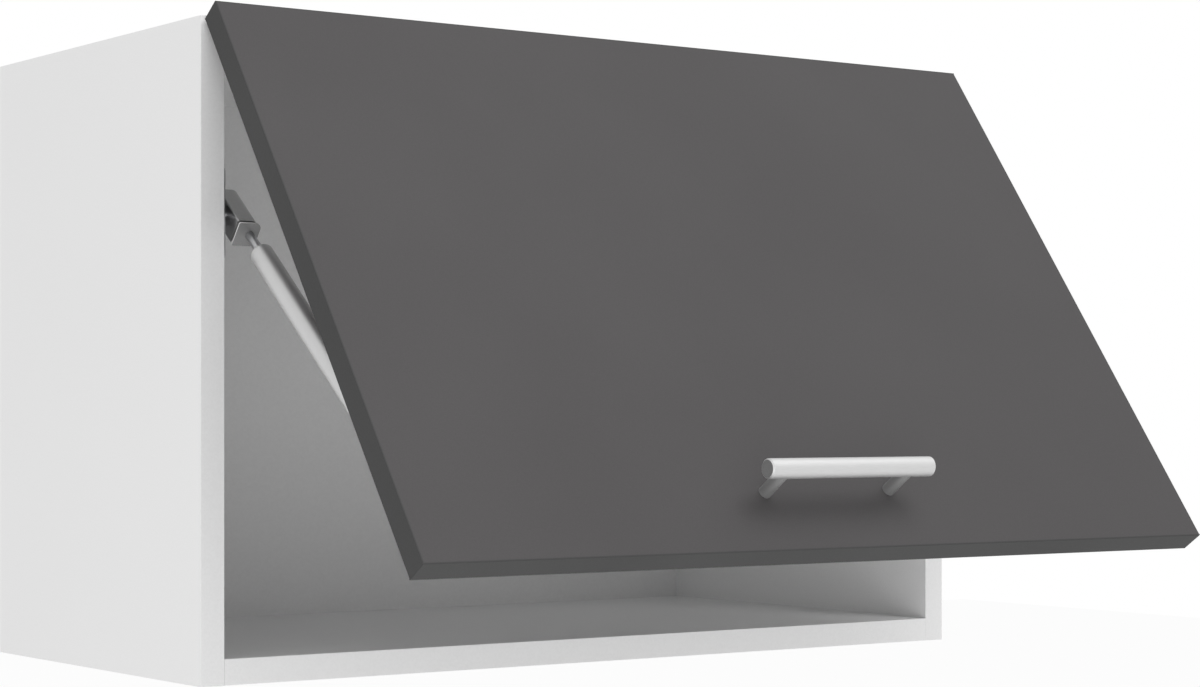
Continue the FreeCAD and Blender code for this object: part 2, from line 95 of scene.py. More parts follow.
# %% Place the camera
IMAGE_WIDTH = 1200
IMAGE_HEIGHT = 687
FOCAL_PIXELS = 2705.14
AXIS_PIXEL_X = 540.84
AXIS_PIXEL_Y = 414.65
CAMERA_PLACE = Vector((-1.05559, -1.73032, -0.03773))
CAMERA_TURN = math.radians(34.93)
LEVEL_TILT = math.radians(90)
FAR_CLIP = 50.0

studio = bpy.context.scene.collection.objects
camera_data = bpy.data.cameras.new("camera")
camera_data.lens = FOCAL_PIXELS / IMAGE_WIDTH * camera_data.sensor_width
camera_data.shift_x = (IMAGE_WIDTH / 2 - AXIS_PIXEL_X) / IMAGE_WIDTH
camera_data.shift_y = (AXIS_PIXEL_Y - IMAGE_HEIGHT / 2) / IMAGE_WIDTH
camera_data.clip_end = FAR_CLIP
camera = bpy.data.objects.new("camera", camera_data)
camera.location = CAMERA_PLACE
camera.rotation_euler = (LEVEL_TILT, 0, -CAMERA_TURN)
studio.link(camera)
bpy.context.scene.camera = camera
print("lens", round(camera_data.lens, 2), "mm on a sensor of", camera_data.sensor_width, "mm")

# %% [markdown]
# ## Links between nodes
# World, floor and finishes are all graphs of nodes, and most of their work is small sums.
# Each node could be made and wired line by line, but three helpers keep the graphs readable:
# one feeds a socket, one does a sum, and one turns a mask from 0 to 1 into a range of values.

# %% Three helpers for any graph


def feed(tree, target, value):
    if isinstance(value, bpy.types.NodeSocket):
        tree.links.new(value, target)
    else:
        target.default_value = value


def worked_out(tree, operation, first, second):
    node = tree.nodes.new("ShaderNodeMath")
    node.operation = operation
    feed(tree, node.inputs[0], first)
    feed(tree, node.inputs[1], second)
    return node.outputs["Value"]


def ranging(tree, mask, low, high):
    ramp = tree.nodes.new("ShaderNodeMapRange")
    ramp.inputs["To Min"].default_value = low
    ramp.inputs["To Max"].default_value = high
    tree.links.new(mask, ramp.inputs["Value"])
    return ramp.outputs["Result"]


print("helpers:", feed.__name__, worked_out.__name__, ranging.__name__)

# %% [markdown]
# ## A bright surround
# The cabinet stands in even white light, as in a tent of white cloth, so its shade is soft.
# A ring of lamps would do, but a plain bright world gives softer shade inside the open box.
# Rays from the camera and mirror rays meet pure white; other rays meet the level of the light.

# %% Hang the surround
SURROUND_LEVEL = 0.765
PURE_WHITE = 1.0


def background_rays(tree):
    path = tree.nodes.new("ShaderNodeLightPath")
    seen = worked_out(tree, "MAXIMUM", path.outputs["Is Camera Ray"], path.outputs["Is Glossy Ray"])
    return worked_out(tree, "MAXIMUM", seen, path.outputs["Is Transmission Ray"])


world = bpy.data.worlds.new("studio")
bpy.context.scene.world = world
world.use_nodes = True
sky = world.node_tree
sky.nodes.clear()
glow = sky.nodes.new("ShaderNodeBackground")
glow.inputs["Color"].default_value = (1, 1, 1, 1)
glow_level = ranging(sky, background_rays(sky), SURROUND_LEVEL, PURE_WHITE)
sky.links.new(glow_level, glow.inputs["Strength"])
sky_out = sky.nodes.new("ShaderNodeOutputWorld")
sky.links.new(glow.outputs["Background"], sky_out.inputs["Surface"])
bpy.context.scene.view_settings.view_transform = "Standard"
print("surround level", SURROUND_LEVEL)

# %% [markdown]
# ## Two lamps
# A key lamp above the flap throws the soft shadow under the handle, and a weak fill, low and
# to the left, reaches under the flap into the box. A sun lamp would draw hard edges,
# so both are wide discs, aimed at the middle of the cabinet.

# %% Hang the lamps
KEY_POWER = 33.0
KEY_SIZE = 2.1
KEY_PLACE = Vector((0.35, -1.9, 2.6))
FILL_POWER = 9.6
FILL_SIZE = 1.4
FILL_PLACE = Vector((-1.05, -2.2, -0.7))

cabinet_middle = (cad_low + cad_high) / 2


def disc_lamp(name, place, size, power):
    data = bpy.data.lights.new(name, "AREA")
    data.shape = "DISK"
    data.size = size
    data.energy = power
    lamp = bpy.data.objects.new(name, data)
    lamp.location = place
    lamp.rotation_euler = (cabinet_middle - place).to_track_quat("-Z", "Y").to_euler()
    studio.link(lamp)


disc_lamp("key_lamp", KEY_PLACE, KEY_SIZE, KEY_POWER)
disc_lamp("fill_lamp", FILL_PLACE, FILL_SIZE, FILL_POWER)
print("lamps of", KEY_POWER, "and", FILL_POWER, "W")

# %% [markdown]
# ## A pale floor
# A wall cabinet hangs about as high as a head, so the floor lies far below and takes its shadow.
# A shadow catcher would do for one picture, but a real floor also throws light up at the flap.
# It is one large square, because nothing of it shows but its tone.

# %% Lay the floor
FLOOR_DROP = 1.4
FLOOR_SIZE = 30.0

floor_z = cad_low.z - FLOOR_DROP
half_floor = FLOOR_SIZE / 2
floor_signs = ((-1, -1), (1, -1), (1, 1), (-1, 1))
floor_mesh = bpy.data.meshes.new("floor")
floor_corners = [(x * half_floor, y * half_floor, floor_z) for x, y in floor_signs]
floor_mesh.from_pydata(floor_corners, [], [range(len(floor_corners))])
floor = bpy.data.objects.new("floor", floor_mesh)
studio.link(floor)
print("floor at", round(floor_z, 3), "m")

# %% [markdown]
# ## Floor paint
# A studio floor is matt and nearly white. Plain paint would show a line where floor and surround
# meet, so a little glow is added for the rays that look at the background, and the shadow stays.
# The paint is clear from below, so that the cabinet's underside can be looked at.

# %% Paint the floor
FLOOR_GREY = 0.88
FLOOR_LIFT = 0.3

floor_paint = bpy.data.materials.new("floor_paint")
floor_paint.use_nodes = True
paint = floor_paint.node_tree
paint.nodes.clear()
matt = paint.nodes.new("ShaderNodeBsdfDiffuse")
matt.inputs["Color"].default_value = (FLOOR_GREY, FLOOR_GREY, FLOOR_GREY, 1)
lift = paint.nodes.new("ShaderNodeEmission")
lift_level = worked_out(paint, "MULTIPLY", background_rays(paint), FLOOR_LIFT)
paint.links.new(lift_level, lift.inputs["Strength"])
lifted = paint.nodes.new("ShaderNodeAddShader")
paint.links.new(matt.outputs["BSDF"], lifted.inputs[0])
paint.links.new(lift.outputs["Emission"], lifted.inputs[1])
clear = paint.nodes.new("ShaderNodeBsdfTransparent")
floor_side = paint.nodes.new("ShaderNodeNewGeometry")
one_sided = paint.nodes.new("ShaderNodeMixShader")
paint.links.new(floor_side.outputs["Backfacing"], one_sided.inputs[0])
paint.links.new(lifted.outputs["Shader"], one_sided.inputs[1])
paint.links.new(clear.outputs["BSDF"], one_sided.inputs[2])
floor_out = paint.nodes.new("ShaderNodeOutputMaterial")
paint.links.new(one_sided.outputs["Shader"], floor_out.inputs["Surface"])
floor_mesh.materials.append(floor_paint)
print("floor paint", floor_paint.name)

# %% [markdown]
# ## Shared surface effects
# Melamine, edge band, sheet steel and moulded plastic all show the same few small effects.
# Each could be drawn again in every material, but a shader node group is drawn once
# and placed with its own values, so one change mends them all.

# %% Open a group
FLOAT = "NodeSocketFloat"
VECTOR = "NodeSocketVector"
COLOR = "NodeSocketColor"


def new_group(name, inputs, outputs):
    group = bpy.data.node_groups.new(name, "ShaderNodeTree")
    for label, kind, value in inputs:
        socket = group.interface.new_socket(label, in_out="INPUT", socket_type=kind)
        socket.default_value = value
    for label, kind in outputs:
        group.interface.new_socket(label, in_out="OUTPUT", socket_type=kind)
    entry = group.nodes.new("NodeGroupInput")
    leave = group.nodes.new("NodeGroupOutput")
    print("group", name, "gives", [label for label, _ in outputs])
    return group, entry.outputs, leave.inputs


print("kinds of socket:", FLOAT, VECTOR, COLOR)

# %% [markdown]
# ## Readings inside a group
# A surface effect starts from the place of a point on its piece. Unwrapped places would need seams
# on every piece, but object coordinates are there already and are in metres,
# so one scale means the same size of grain on a board and on a screw.

# %% Helpers inside a group


def on_the_piece(group, reading):
    return group.nodes.new("ShaderNodeTexCoord").outputs[reading]


def vector_sum(group, operation, first, second, result):
    node = group.nodes.new("ShaderNodeVectorMath")
    node.operation = operation
    group.links.new(first, node.inputs[0])
    group.links.new(second, node.inputs[1])
    return node.outputs[result]


def noise(group, place, scale, detail, softness):
    node = group.nodes.new("ShaderNodeTexNoise")
    node.inputs["Detail"].default_value = detail
    node.inputs["Roughness"].default_value = softness
    group.links.new(place, node.inputs["Vector"])
    group.links.new(scale, node.inputs["Scale"])
    return node.outputs["Fac"]


def full_mask(group, value, low, high):
    ramp = group.nodes.new("ShaderNodeMapRange")
    ramp.inputs["From Min"].default_value = low
    ramp.inputs["From Max"].default_value = high
    group.links.new(value, ramp.inputs["Value"])
    return ramp.outputs["Result"]


print("helpers:", on_the_piece.__name__, vector_sum.__name__, noise.__name__, full_mask.__name__)

# %% [markdown]
# ## Fine grain
# Melamine film is pressed against a pearled plate, and moulds leave a fine matt skin.
# Both are too small to model, so a dense noise gives a mask for the tone and a height for bump.

# %% Draw the fine grain
GRAIN_LIMITS = (0.35, 0.65)

fine_grain, grain_in, grain_out = new_group(
    "fine_grain", [("Scale", FLOAT, 900.0)], [("Mask", FLOAT), ("Height", FLOAT)])
pearl = noise(fine_grain, on_the_piece(fine_grain, "Object"), grain_in["Scale"], detail=3.0, softness=0.6)
fine_grain.links.new(full_mask(fine_grain, pearl, *GRAIN_LIMITS), grain_out["Mask"])
fine_grain.links.new(pearl, grain_out["Height"])

# %% [markdown]
# ## Soft smudges
# Hands and cloths leave broad, faint patches that only show in the gloss.
# A painted mask would need unwrapped surfaces; a slow noise in space fits every piece as it is.

# %% Draw the soft smudges
SMUDGE_LIMITS = (0.3, 0.7)

soft_smudges, smudge_in, smudge_out = new_group(
    "soft_smudges", [("Scale", FLOAT, 7.0)], [("Mask", FLOAT)])
patches = noise(
    soft_smudges, on_the_piece(soft_smudges, "Object"), smudge_in["Scale"], detail=2.0, softness=0.5)
soft_smudges.links.new(full_mask(soft_smudges, patches, *SMUDGE_LIMITS), smudge_out["Mask"])

# %% [markdown]
# ## Drawn lines
# Polishing a bar or drawing a wire leaves fine lines along it, and so does the grain of wood.
# Waves would be too regular, so noise is pulled long in one direction by a stretch vector.

# %% Draw the drawn lines
LINE_LIMITS = (0.3, 0.7)

drawn_lines, lines_in, lines_out = new_group(
    "drawn_lines", [("Stretch", VECTOR, (1.0, 1.0, 1.0)), ("Scale", FLOAT, 1500.0)],
    [("Mask", FLOAT), ("Height", FLOAT)])
pulled = vector_sum(
    drawn_lines, "MULTIPLY", on_the_piece(drawn_lines, "Object"), lines_in["Stretch"], "Vector")
streaks = noise(drawn_lines, pulled, lines_in["Scale"], detail=2.0, softness=0.5)
drawn_lines.links.new(full_mask(drawn_lines, streaks, *LINE_LIMITS), lines_out["Mask"])
drawn_lines.links.new(streaks, lines_out["Height"])

# %% [markdown]
# ## Facing mask
# A board is finished on some faces and raw on others. The faces could get materials of their own,
# but the frame's meshes stay as they are, so the piece's own normal picks out a direction.

# %% Draw the facing mask
FACING_LIMITS = (0.6, 0.8)

facing_mask, facing_in, facing_out = new_group(
    "facing_mask", [("Direction", VECTOR, (0.0, 1.0, 0.0))], [("Mask", FLOAT)])
turned_to = vector_sum(
    facing_mask, "DOT_PRODUCT", on_the_piece(facing_mask, "Normal"), facing_in["Direction"], "Value")
facing_mask.links.new(full_mask(facing_mask, turned_to, *FACING_LIMITS), facing_out["Mask"])

# %% [markdown]
# ## Raw fibre
# Board that no film covers shows brown chips or pressed fibres, each of one tone.
# Smooth noise would look like dirt, so cells are used, each with a tone between light and dark.

# %% Draw the raw fibre
CHIP_LIGHT = (0.42, 0.29, 0.17, 1)
CHIP_DARK = (0.20, 0.12, 0.06, 1)

raw_fibre, fibre_in, fibre_out = new_group(
    "raw_fibre", [("Scale", FLOAT, 420.0), ("Light", COLOR, CHIP_LIGHT), ("Dark", COLOR, CHIP_DARK)],
    [("Color", COLOR)])
cells = raw_fibre.nodes.new("ShaderNodeTexVoronoi")
raw_fibre.links.new(on_the_piece(raw_fibre, "Object"), cells.inputs["Vector"])
raw_fibre.links.new(fibre_in["Scale"], cells.inputs["Scale"])
cell_tone = raw_fibre.nodes.new("ShaderNodeSeparateColor")
raw_fibre.links.new(cells.outputs["Color"], cell_tone.inputs["Color"])
chip_mix = raw_fibre.nodes.new("ShaderNodeMix")
chip_mix.data_type = "RGBA"
raw_fibre.links.new(cell_tone.outputs["Red"], chip_mix.inputs["Factor"])
raw_fibre.links.new(fibre_in["Dark"], chip_mix.inputs["A"])
raw_fibre.links.new(fibre_in["Light"], chip_mix.inputs["B"])
raw_fibre.links.new(chip_mix.outputs["Result"], fibre_out["Color"])

# %% [markdown]
# ## Slice mask
# Some finishes stop at a line across a piece, as a dipped coat does.
# A second material would need new faces there, so the distance along a direction is measured.

# %% Draw the slice mask
slice_mask, slice_in, slice_out = new_group(
    "slice_mask", [("Direction", VECTOR, (0.0, 0.0, 1.0)), ("Start", FLOAT, 0.0), ("End", FLOAT, 1.0)],
    [("Mask", FLOAT)])
along = vector_sum(
    slice_mask, "DOT_PRODUCT", on_the_piece(slice_mask, "Object"), slice_in["Direction"], "Value")
past_start = worked_out(slice_mask, "GREATER_THAN", along, slice_in["Start"])
before_end = worked_out(slice_mask, "LESS_THAN", along, slice_in["End"])
slice_mask.links.new(worked_out(slice_mask, "MULTIPLY", past_start, before_end), slice_out["Mask"])

# %% [markdown]
# ## Finishes
# Every finish is one material with its shader in plain view and the groups feeding it.
# A single colour would look like a stand-in, so each has two near tones, a roughness
# that drifts, and a small bump at the size of the real surface.

# %% Start a finish


def new_material(name):
    material = bpy.data.materials.new(name)
    material.use_nodes = True
    tree = material.node_tree
    return material, tree, tree.nodes["Principled BSDF"]


def place_group(tree, group, **values):
    node = tree.nodes.new("ShaderNodeGroup")
    node.node_tree = group
    for label, value in values.items():
        node.inputs[label].default_value = value
    return node.outputs


print("helpers:", new_material.__name__, place_group.__name__)

# %% [markdown]
# ## Tones and height
# A real surface is never one tone: film, paint and metal drift between two that lie close together.
# A colour ramp could hold the two, but a mix takes colours from other groups as well.
# The height of a grain is far smaller than any mesh could show, so it is a bump.

# %% Helpers for tones and height


def grey(level):
    return level, level, level


def two_tones(tree, mask, first, second):
    mix = tree.nodes.new("ShaderNodeMix")
    mix.data_type = "RGBA"
    tree.links.new(mask, mix.inputs["Factor"])
    for label, tone in (("A", first), ("B", second)):
        feed(tree, mix.inputs[label], (*tone, 1) if isinstance(tone, tuple) else tone)
    return mix.outputs["Result"]


def raised(tree, shader, height, strength, depth):
    bump = tree.nodes.new("ShaderNodeBump")
    bump.inputs["Strength"].default_value = strength
    bump.inputs["Distance"].default_value = depth
    tree.links.new(height, bump.inputs["Height"])
    tree.links.new(bump.outputs["Normal"], shader.inputs["Normal"])


print("helpers:", grey.__name__, two_tones.__name__, raised.__name__)

# %% [markdown]
# ## Grained finishes
# Film, edge band and plastic are all made alike: grain in the tone and in the height, smudges in
# the gloss. Each could be written out in full, but one function keeps them in step.
# A second finish can then be painted over the first wherever a mask is white.

# %% Helpers for grained finishes
GRAIN_DEPTH = 0.0004


def grained(name, tones, roughness, scale, bump, specular):
    material, tree, shader = new_material(name)
    grain = place_group(tree, fine_grain, Scale=scale)
    smudge = place_group(tree, soft_smudges)
    tree.links.new(two_tones(tree, grain["Mask"], *tones), shader.inputs["Base Color"])
    tree.links.new(ranging(tree, smudge["Mask"], *roughness), shader.inputs["Roughness"])
    raised(tree, shader, grain["Height"], bump, GRAIN_DEPTH)
    shader.inputs["Specular IOR Level"].default_value = specular
    print("finish", name)
    return material, tree, shader


def painted_over(tree, shader, mask, tone):
    below = shader.inputs["Base Color"].links[0].from_socket
    tree.links.new(two_tones(tree, mask, below, tone), shader.inputs["Base Color"])


print("grain is", GRAIN_DEPTH, "m deep")

# %% [markdown]
# ## White melamine board
# The carcass is chipboard under white film, with the chips bare on the rear edges.
# The film alone would hide how the board is made, so the facing mask lets chips show at the back.

# %% Finish the white board
WHITE_TONES = (grey(0.895), grey(0.925))
REAR = Vector((0.0, 1.0, 0.0))
FRONT = -REAR

white_board, white_tree, white_shader = grained(
    "white_melamine", WHITE_TONES, roughness=(0.44, 0.52), scale=1100.0, bump=0.12, specular=0.4)
raw_edge = place_group(white_tree, facing_mask, Direction=REAR)
chips = place_group(white_tree, raw_fibre)
painted_over(white_tree, white_shader, raw_edge["Mask"], chips["Color"])

# %% [markdown]
# ## Grey melamine flap
# The flap's film is a matt warm grey, with much less shine than the white.
# A low specular level keeps the bright surround from washing it out, as the matt film does.

# %% Finish the grey board
GREY_TONES = ((0.0640, 0.0605, 0.0620), (0.0715, 0.0680, 0.0695))

grey_board, _, _ = grained(
    "grey_melamine", GREY_TONES, roughness=(0.5, 0.6), scale=1400.0, bump=0.12, specular=0.25)

# %% [markdown]
# ## Edge bands
# The bands are strips of plastic in nearly the colour of their board, smoother than the film.
# The boards' own materials would hide the joint, so each band gets a tone and a grain of its own.

# %% Finish the edge bands
# The white band sits a little below the board's grey: partly its own tone, partly painted shade on the
# carcass's front edges.
white_band, _, _ = grained(
    "white_band", (grey(0.85), grey(0.88)), roughness=(0.38, 0.46), scale=700.0, bump=0.06, specular=0.4)
grey_band, _, _ = grained(
    "grey_band", (grey(0.057), grey(0.063)), roughness=(0.55, 0.65), scale=900.0, bump=0.08, specular=0.15)

# %% [markdown]
# ## Back sheet
# The back is thin hardboard, lacquered white on the side that faces into the cabinet.
# Its rear and its cut edges stay brown, so fibre covers all faces and lacquer only the front.

# %% Finish the back sheet
HARDBOARD_LIGHT = (0.30, 0.18, 0.09, 1)
HARDBOARD_DARK = (0.19, 0.11, 0.05, 1)
HARDBOARD_SCALE = 900.0

back_sheet, back_tree, back_shader = grained(
    "lacquered_hardboard", WHITE_TONES, roughness=(0.5, 0.6), scale=500.0, bump=0.1, specular=0.4)
lacquer = back_shader.inputs["Base Color"].links[0].from_socket
pressed = place_group(
    back_tree, raw_fibre, Scale=HARDBOARD_SCALE, Light=HARDBOARD_LIGHT, Dark=HARDBOARD_DARK)
inner_face = place_group(back_tree, facing_mask, Direction=FRONT)
sheet_tone = two_tones(back_tree, inner_face["Mask"], pressed["Color"], lacquer)
back_tree.links.new(sheet_tone, back_shader.inputs["Base Color"])

# %% [markdown]
# ## Metals
# Every metal piece reflects the white surround, and differs in tone, in polish and in its lines.
# A mirror would look like a toy, so roughness stays soft and fine lines break the reflection.

# %% Helper for metals
LINE_DEPTH = 0.0001
METAL_SMUDGE_SCALE = 40.0


def metal(name, tones, roughness, stretch, scale, bump, metallic):
    material, tree, shader = new_material(name)
    drawn = place_group(tree, drawn_lines, Stretch=stretch, Scale=scale)
    smudge = place_group(tree, soft_smudges, Scale=METAL_SMUDGE_SCALE)
    tree.links.new(two_tones(tree, drawn["Mask"], *tones), shader.inputs["Base Color"])
    tree.links.new(ranging(tree, smudge["Mask"], *roughness), shader.inputs["Roughness"])
    raised(tree, shader, drawn["Height"], bump, LINE_DEPTH)
    shader.inputs["Metallic"].default_value = metallic
    print("finish", name)
    return material


print("lines are", LINE_DEPTH, "m deep")

# %% [markdown]
# ## Handle and strut
# The handle's bar is satin steel with lines along it; its cast posts get a darker grey that paints their
# shade.
# The strut's tube is sprayed silver. Lacquer over metal is not a full mirror,
# so the tube is less metallic than the handle.

# %% Finish the handle and the strut
ALL_WAYS = (1.0, 1.0, 1.0)
ALONG_BAR = (0.04, 1.0, 1.0)

handle_metal = metal("satin_handle", (grey(0.61), grey(0.65)), roughness=(0.54, 0.60),
                     stretch=ALONG_BAR, scale=3000.0, bump=0.06, metallic=0.92)
# The posts' darker grey is painted shade: the bar shades them and they reflect the dark flap.
shaded_post_metal = metal("shaded_satin_post", (grey(0.43), grey(0.47)), roughness=(0.54, 0.60),
                   stretch=ALL_WAYS, scale=3000.0, bump=0.06, metallic=0.92)
strut_paint = metal("strut_silver", (grey(0.60), grey(0.63)), roughness=(0.38, 0.43),
                    stretch=ALL_WAYS, scale=3000.0, bump=0.04, metallic=0.8)
bright_steel = metal("bright_steel", ((0.56, 0.56, 0.57), (0.62, 0.62, 0.63)), roughness=(0.20, 0.28),
                     stretch=ALL_WAYS, scale=2500.0, bump=0.03, metallic=1.0)

# %% [markdown]
# ## Plated steel and zinc
# Hinges, plates, nails and screws are plated sheet and wire; the cams are cast zinc.
# One steel for all would do from afar, but a casting is duller and rougher than plated sheet.

# %% Finish the steel and the zinc
ALONG_HEIGHT = (1.0, 1.0, 0.2)

plated_steel = metal("plated_steel", ((0.52, 0.52, 0.54), (0.60, 0.60, 0.61)), roughness=(0.30, 0.40),
                     stretch=ALONG_HEIGHT, scale=1200.0, bump=0.06, metallic=1.0)
zinc = metal("cast_zinc", ((0.42, 0.42, 0.44), (0.52, 0.52, 0.53)), roughness=(0.42, 0.55),
             stretch=ALL_WAYS, scale=1500.0, bump=0.15, metallic=1.0)

# %% [markdown]
# ## Moulded plastics
# Small moulded parts are grey with a fine matt skin, and the flap's bumpers are soft and pale.
# They share the grain of the boards, placed with a finer scale to suit their size.

# %% Finish the plastics
moulded, _, _ = grained(
    "moulded_grey", (grey(0.21), grey(0.25)), roughness=(0.42, 0.52), scale=2500.0, bump=0.1, specular=0.5)
# The caps' dark grey is partly their own tone and partly painted shade on the bar's end faces.
cap_grey_and_shade, _, _ = grained(
    "cap_grey_and_shade", (grey(0.20), grey(0.235)), roughness=(0.40, 0.48), scale=1800.0, bump=0.06, specular=0.4)
soft_pad, _, _ = grained(
    "soft_pad", ((0.70, 0.70, 0.69), (0.78, 0.78, 0.77)), roughness=(0.35, 0.5), scale=600.0, bump=0.1,
    specular=0.4)

# %% [markdown]
# ## Beech dowels
# The corners are held by beech dowels, whose grain runs along them from side to side.
# A plain brown would do inside a joint, but the drawn lines give real grain for two links more.

# %% Finish the dowels
ALONG_DOWEL = (0.06, 1.0, 1.0)
BEECH_SCALE = 700.0
BEECH_DARK = (0.50, 0.33, 0.19)
BEECH_LIGHT = (0.66, 0.48, 0.31)
BEECH_ROUGHNESS = (0.55, 0.7)
BEECH_BUMP = 0.2
BEECH_DEPTH = 0.0003

beech, beech_tree, beech_shader = new_material("beech")
years = place_group(beech_tree, drawn_lines, Stretch=ALONG_DOWEL, Scale=BEECH_SCALE)
beech_tone = two_tones(beech_tree, years["Mask"], BEECH_DARK, BEECH_LIGHT)
beech_tree.links.new(beech_tone, beech_shader.inputs["Base Color"])
beech_gloss = ranging(beech_tree, years["Mask"], *BEECH_ROUGHNESS)
beech_tree.links.new(beech_gloss, beech_shader.inputs["Roughness"])
raised(beech_tree, beech_shader, years["Height"], BEECH_BUMP, BEECH_DEPTH)
print("finish", beech.name)

# %% [markdown]
# ## The strut's upper fitting
# The fitting is a moulded block under a metallic coat. Its lip is bare and pale, its pale grey partly
# painted highlight along the rim's edges, and its end dark.
# Separate solids could carry the three, but it is one moulding, so slices along the strut divide it.

# %% Finish the strut's fitting
LIP_DEPTH = 0.001
END_SKIN = 0.00005
# The lip's pale grey is partly its own tone and partly a painted highlight of the rim's edges.
LIP_TONE_AND_HIGHLIGHT = grey(0.80)
END_TONE = grey(0.22)
FULL_METAL = 1.0
NO_METAL = 0.0

strut_axis = Vector(joint_of["strut_slide_left"]["axis"]).normalized()
fitting_points = [vertex.co for vertex in nodes["strut_upper_fitting_left"].data.vertices]
fitting_foot = min(point.dot(strut_axis) for point in fitting_points)
below_foot = fitting_foot - LIP_DEPTH
strut_end, end_tree, end_shader = grained(
    "strut_end", (grey(0.47), grey(0.51)), roughness=(0.34, 0.40), scale=2500.0, bump=0.04, specular=0.5)
lip_top = fitting_foot + LIP_DEPTH
skin_top = fitting_foot + END_SKIN
bare_lip_and_highlight = place_group(end_tree, slice_mask, Direction=strut_axis, Start=below_foot, End=lip_top)
dark = place_group(end_tree, slice_mask, Direction=strut_axis, Start=below_foot, End=skin_top)
painted_over(end_tree, end_shader, bare_lip_and_highlight["Mask"], LIP_TONE_AND_HIGHLIGHT)
painted_over(end_tree, end_shader, dark["Mask"], END_TONE)
coat = ranging(end_tree, bare_lip_and_highlight["Mask"], FULL_METAL, NO_METAL)
end_tree.links.new(coat, end_shader.inputs["Metallic"])
print("fitting's foot lies", round(fitting_foot, 5), "m along the strut")

# %% [markdown]
# ## Finishes onto the pieces
# Each node of the frame already names a material slot in the record.
# Finishes could be set node by node, but a table from slot to finish keeps them together.
# Only the handle's posts and the strut's fittings and rods differ from the rest of their slots.

# %% Give every node its finish
SIDES = ("left", "right")

finish_of_slot = {
    "white_board": white_board, "white_band": white_band, "white_sheet": back_sheet,
    "grey_board": grey_board, "grey_band": grey_band, "zinc": zinc, "beech": beech,
    "steel": plated_steel, "strut_silver": strut_paint, "fitting_grey": moulded,
    "handle_silver": handle_metal, "bumper_clear": soft_pad}
slot_of_node = {entry["node"]: entry["material_slot"] for entry in frame["record"]["subparts"]}
for node, piece in nodes.items():
    piece.data.materials.clear()
    piece.data.materials.append(finish_of_slot[slot_of_node[node]])
own_finish = {"handle_post_": shaded_post_metal, "strut_upper_fitting_": strut_end, "strut_rod_": bright_steel}
for side in SIDES:
    for stem, finish in own_finish.items():
        nodes[stem + side].data.materials[0] = finish
print("finished", len(nodes), "nodes with", len(finish_of_slot) + len(own_finish), "finishes")

# %% [markdown]
# ## Turned pieces
# End caps and screw heads are round about an axis, as if made on a lathe.
# They could be plain discs, but a profile turned about an axis gives the small rims
# and dishes that catch the light, and it needs only a few points.

# %% Helpers for turned pieces
SHARP_ANGLE = math.radians(35)


def turned(profile, steps):
    shape = bmesh.new()
    angles = [2 * math.pi * step / steps for step in range(steps)]
    rings = []
    for height, radius in profile:
        corners = [(radius * math.cos(angle), radius * math.sin(angle), height) for angle in angles]
        rings.append([shape.verts.new(corner) for corner in (corners if radius else corners[:1])])
    for lower, upper in zip(rings, rings[1:]):
        for step in range(steps):
            after = (step + 1) % steps
            corners = [lower[step % len(lower)], lower[after % len(lower)],
                       upper[after % len(upper)], upper[step % len(upper)]]
            shape.faces.new(list(dict.fromkeys(corners)))
    return shape


def pointed(place, direction):
    return Matrix.Translation(place) @ direction.to_track_quat("Z", "Y").to_matrix().to_4x4()


def piece_from(name, shape, finish, body):
    bmesh.ops.recalc_face_normals(shape, faces=shape.faces)
    mesh = bpy.data.meshes.new(name)
    shape.to_mesh(mesh)
    shape.free()
    mesh.materials.append(finish)
    mesh.shade_smooth()
    mesh.set_sharp_from_angle(angle=SHARP_ANGLE)
    piece = bpy.data.objects.new(name, mesh)
    studio.link(piece)
    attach(piece, body)
    print("piece", name, "has", len(mesh.polygons), "faces")
    return piece


print("edges stay sharp past", round(math.degrees(SHARP_ANGLE)), "degrees")

# %% [markdown]
# ## Caps in the ends of the handle bar
# The bar is a tube, closed at each end by a grey cap that leaves the tube's bright rim showing; the cap's
# dark grey also paints the shade on the bar's ends.
# A ring of colour would do from far off, but a real cap has a dished face and a rim of its own.

# %% Press in the two caps
CAP_SHARE = 0.86
CAP_SUNK = 0.0004
CAP_PROUD = 0.00006
CAP_DISH = 0.00004
CAP_RIM = 0.0002
CAP_SLOPE = 0.0004
CAP_STEPS = 64
MILLIMETRES = 1000

bar_low, bar_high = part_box("handle_bar")
bar_middle = (bar_low + bar_high) / 2
cap_radius = CAP_SHARE * (bar_high.z - bar_low.z) / 2
cap_face = CAP_PROUD - CAP_DISH
rim_radius = cap_radius - CAP_RIM
cap_profile = [(-CAP_SUNK, 0), (-CAP_SUNK, cap_radius), (cap_face, cap_radius), (CAP_PROUD, rim_radius),
               (cap_face, rim_radius - CAP_SLOPE), (cap_face, 0)]
for side, end_x, outward in zip(SIDES, (bar_low.x, bar_high.x), (-1, 1)):
    cap = turned(cap_profile, CAP_STEPS)
    cap.transform(pointed(Vector((end_x, bar_middle.y, bar_middle.z)), Vector((outward, 0, 0))))
    piece_from("handle_cap_" + side, cap, cap_grey_and_shade, "flap")
print("caps", round(2 * cap_radius * MILLIMETRES, 2), "mm across")

# %% [markdown]
# ## Where the screws stand
# The frame's screws are smooth cones, since a recess is too fine for the construction.
# Their places could be typed in, but the frame already has them: each loose shell of a screw node
# is one screw, and the flat end of the shell gives the middle and the radius of its head.
# A shell is gathered from neighbour to neighbour, in a list that grows while it is read.

# %% Find the frame's screws
SAME_POINT = 1e-6
FLAT_END = 1e-5


